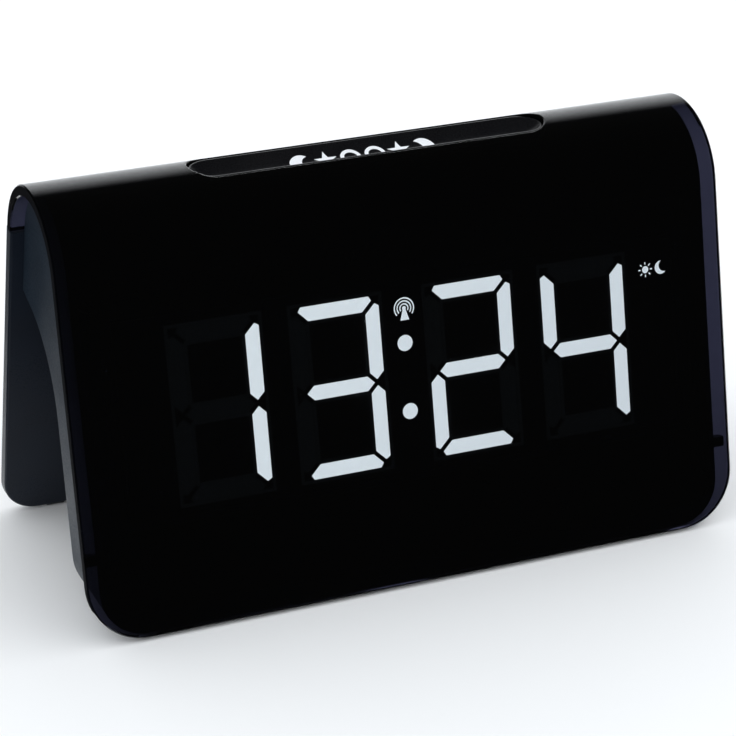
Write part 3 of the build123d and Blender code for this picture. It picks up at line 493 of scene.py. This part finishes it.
def clock_face():
    """A dial with two hands."""
    hands = [bar((0, 0), (0, 1.05 * MM), LINE), bar((0, 0), (0.75 * MM, 0), LINE)]
    return ring(1.6 * MM, LINE) + hands


def bell():
    """A bell with its clapper."""
    dome = [circle_points(1.1 * MM, (0, 0.2 * MM), 0, 180, 16)]
    skirt = [[(x * MM, y * MM) for x, y in ((-1.1, 0.2), (-1.55, -0.9), (1.55, -0.9), (1.1, 0.2))]]
    clapper = [circle_points(0.35 * MM, (0, -1.35 * MM), steps=12)]
    return dome + skirt + clapper


def lamp(rays=8):
    """A disc with rays round it."""
    starts = circle_points(1.15 * MM, steps=rays)
    ends = circle_points(1.75 * MM, steps=rays)
    strokes = [bar(start, end, LINE) for start, end in zip(starts, ends)]
    return [circle_points(0.75 * MM, steps=20)] + strokes


MARK_DROP = 8.2 * MM     # from a button down to its symbol
leg_symbols = {
    "button_clock": clock_face(),
    "button_alarm": bell(),
    "button_up": [TRIANGLE],
    "button_down": [[(x, -y) for x, y in reversed(TRIANGLE)]],
    "button_light": lamp(),
    "alarm_slider": ring(1.5 * MM, LINE, start=-60, turn=300) + [bar((0, 0.5 * MM), (0, 1.9 * MM), LINE)],
}
leg_marks = []
for node, symbol in leg_symbols.items():
    centre = middle(node)
    leg_marks += moved(symbol, -centre.x, centre.dot(LEG_UP) - MARK_DROP)
print_marks("leg_symbols", leg_marks, on_leg, "housing")


# ---------------------------------------------------------------- springs under the snooze key
def squeezed_springs(name, node):
    """A copy of a node of springs that stands for it, riding on the housing, with the node itself hidden.
    """
    piece = bpy.data.objects.new(name, NODES[node].data.copy())
    bpy.context.scene.collection.objects.link(piece)
    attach(piece, "housing")
    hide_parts(node)
    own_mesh(piece)


squeezed_springs("key_springs", "snooze_springs")


# ---------------------------------------------------------------- painted shade on the edges of the lens
STRAIGHT_SIDEWAYS = 0.9      # least part of a side face's normal that points left or right


def beside(spot, height):
    """A place outside the spot, straight away from the middle of the clock."""
    return spot + Vector((math.copysign(AIR + height, spot.x), 0, 0))


def painted_sides(name, node):
    """A dark coat of painted shade on the faces of a node that look straight to the left or right."""
    mesh = bmesh.new()
    mesh.from_mesh(NODES[node].data)
    others = [face for face in mesh.faces if abs(face.normal.x) < STRAIGHT_SIDEWAYS]
    bmesh.ops.delete(mesh, geom=others, context="FACES")
    thickened(mesh, beside)
    return finished_layer(mesh, name, "painted_edge_shade", "housing")


painted_sides("lens_painted_edge_shade", "front_lens")

# ---------------------------------------------------------------- milky surround of the digit bars, with a faint painted glow
FRONT_UP = Vector((0, math.sin(FRONT_LEAN), math.cos(FRONT_LEAN)))
REFLECTOR_FACE = max(v.co.dot(FRONT_OUT) for v in NODES["display_reflector"].data.vertices)
DIGIT_RISE = middle("bars_dark").dot(FRONT_UP)
DIGIT_X = (-42.1 * MM, -15.2 * MM, 15.2 * MM, 42.1 * MM)
DIGIT_W, DIGIT_H = 16.6 * MM, 34.1 * MM      # between the centre lines of the bars
BAR = 3.2 * MM                               # width of a bar
SURROUND = 0.75 * MM                         # how far the milky plastic shows beside a bar


def on_reflector(x, y, height):
    """A place on the face of the reflector, x across and y up it."""
    return Vector((x, 0, 0)) + FRONT_UP * y + FRONT_OUT * (REFLECTOR_FACE + 2 * AIR + height)


def square_ring(x, y, wide, high, width):
    """Four mitred strips; wide and high are the outside sizes."""
    sides = ((-1, -1), (1, -1), (1, 1), (-1, 1))
    outer = [(x + sx * wide / 2, y + sy * high / 2) for sx, sy in sides]
    inner = [(px - math.copysign(width, px - x), py - math.copysign(width, py - y)) for px, py in outer]
    return [[outer[i - 1], outer[i], inner[i], inner[i - 1]] for i in range(4)]


outer_w, outer_h = (size + BAR + 2 * SURROUND for size in (DIGIT_W, DIGIT_H))
surrounds = []
for x in DIGIT_X:
    surrounds += square_ring(x, DIGIT_RISE, outer_w, outer_h, SURROUND)
    for half in (-1, 1):
        hole_y = DIGIT_RISE + half * DIGIT_H / 4
        surrounds += square_ring(x, hole_y, DIGIT_W - BAR, DIGIT_H / 2 - BAR, SURROUND)
# The surround's glow is painted light round the lit bars.
surround_piece = print_marks(
    "bar_surrounds", surrounds, on_reflector, "housing", rows=DIGIT_H, finish="milky_surround_painted_glow"
)


# ---------------------------------------------------------------- studio
# The stretch of floor that glossy surfaces show: under the clock and behind it.
CARD_LEFT, CARD_RIGHT = -0.1, 0.4
CARD_FRONT, CARD_BACK = cad_box[0][1], 0.45
FLOOR_END = 6.0

ROOM_LEVEL = 1.24        # light from all round
MIRRORED_LEVEL = 0.03    # the room in glossy surfaces
PANEL_LEVEL = 1.15       # the middle of the panel in glossy surfaces
PANEL_AIM = (0.35, 0.93, 0.12)    # towards the middle of the panel
PANEL_EDGE = 0.77        # cosine of the angle from the panel's middle to its edge

BACK_LIGHT = (0.55, 1.2, 0.5)
BACK_LIGHT_SIZE = 1.0
BACK_LIGHT_WATTS = 2.4
CLOCK_TOP = (0.0, 0.0, 0.1)

EYE = (-0.21588, -0.51857, 0.29139)
EYE_AZIMUTH = math.radians(-22.67)
EYE_LIFT = math.radians(24.4)
FOCAL_LENGTH = 136.96    # millimetres, on a sensor 36 millimetres wide


def pale_floor(name, low, high, mirrored):
    """One flat stretch of the floor. Only a mirrored one shows in glossy surfaces."""
    data = bpy.data.meshes.new(name)
    corners = [(low[0], low[1], 0), (high[0], low[1], 0), (high[0], high[1], 0), (low[0], high[1], 0)]
    data.from_pydata(corners, [], [(0, 1, 2, 3)])
    floor = bpy.data.objects.new(name, data)
    floor.visible_glossy = mirrored
    bpy.context.scene.collection.objects.link(floor)
    data.materials.append(PAPER)


def studio_paper():
    """Plain white paper with a faint cloudiness."""
    paint = Paint("studio_paper")
    cloud = paint.noise(0.4, 2)
    paint.colour(paint.mix(paint.spread(cloud, 0, 1), rgb(0.90, 0.90, 0.90), rgb(0.92, 0.92, 0.92)))
    paint.roughness(paint.spread(cloud, 0.85, 0.95))
    return paint.material


def soft_light(name, place, aim, size, watts):
    """A square light that is itself seen neither by the camera nor in glossy surfaces."""
    data = bpy.data.lights.new(name, "AREA")
    data.shape = "SQUARE"
    data.size = size
    data.energy = watts
    light = bpy.data.objects.new(name, data)
    light.location = place
    light.rotation_euler = (Vector(aim) - Vector(place)).to_track_quat("-Z", "Y").to_euler()
    light.visible_camera = False
    light.visible_glossy = False
    bpy.context.scene.collection.objects.link(light)


def pale_room(strength, mirrored, panel, panel_aim):
    """Even light from all round. Glossy surfaces see a dim room with one soft-edged panel."""
    room = bpy.data.worlds.new("room")
    room.use_nodes = True
    tree = room.node_tree
    direction = tree.nodes.new("ShaderNodeTexCoord").outputs["Generated"]
    nearness = tree.nodes.new("ShaderNodeVectorMath")
    nearness.operation = "DOT_PRODUCT"
    nearness.inputs[1].default_value = Vector(panel_aim).normalized()
    tree.links.new(direction, nearness.inputs[0])
    glow = tree.nodes.new("ShaderNodeMapRange")
    glow.interpolation_type = "SMOOTHSTEP"
    limits = {"From Min": PANEL_EDGE, "From Max": 1.0, "To Min": mirrored, "To Max": panel}
    for name, value in limits.items():
        glow.inputs[name].default_value = value
    tree.links.new(nearness.outputs["Value"], glow.inputs["Value"])
    rays = tree.nodes.new("ShaderNodeLightPath")
    level = tree.nodes.new("ShaderNodeMapRange")
    level.inputs["To Min"].default_value = strength
    tree.links.new(glow.outputs["Result"], level.inputs["To Max"])
    tree.links.new(rays.outputs["Is Glossy Ray"], level.inputs["Value"])
    background = tree.nodes["Background"]
    background.inputs["Color"].default_value = rgb(0.94, 0.97, 1.0)
    tree.links.new(level.outputs["Result"], background.inputs["Strength"])
    bpy.context.scene.world = room


def camera():
    """The viewpoint: in front, to the left and above."""
    level_back = Vector((math.sin(EYE_AZIMUTH), -math.cos(EYE_AZIMUTH), 0))
    back = level_back * math.cos(EYE_LIFT) + Vector((0, 0, math.sin(EYE_LIFT)))
    right = Vector((math.cos(EYE_AZIMUTH), math.sin(EYE_AZIMUTH), 0))
    up = back.cross(right)
    data = bpy.data.cameras.new("camera")
    data.sensor_width = 36.0
    data.lens = FOCAL_LENGTH
    data.clip_start = 0.01
    eye = bpy.data.objects.new("camera", data)
    turn = Matrix((right, up, back)).transposed().to_4x4()
    eye.matrix_world = Matrix.Translation(EYE) @ turn
    bpy.context.scene.collection.objects.link(eye)
    bpy.context.scene.camera = eye


PAPER = studio_paper()
pale_floor("floor_card", (CARD_LEFT, CARD_FRONT), (CARD_RIGHT, CARD_BACK), True)
pale_floor("floor_front", (-FLOOR_END, -FLOOR_END), (FLOOR_END, CARD_FRONT), False)
pale_floor("floor_back", (-FLOOR_END, CARD_BACK), (FLOOR_END, FLOOR_END), False)
pale_floor("floor_left", (-FLOOR_END, CARD_FRONT), (CARD_LEFT, CARD_BACK), False)
pale_floor("floor_right", (CARD_RIGHT, CARD_FRONT), (FLOOR_END, CARD_BACK), False)
pale_room(ROOM_LEVEL, MIRRORED_LEVEL, PANEL_LEVEL, PANEL_AIM)
soft_light("back_panel", BACK_LIGHT, CLOCK_TOP, BACK_LIGHT_SIZE, BACK_LIGHT_WATTS)
camera()
bpy.context.scene.view_settings.view_transform = "Standard"
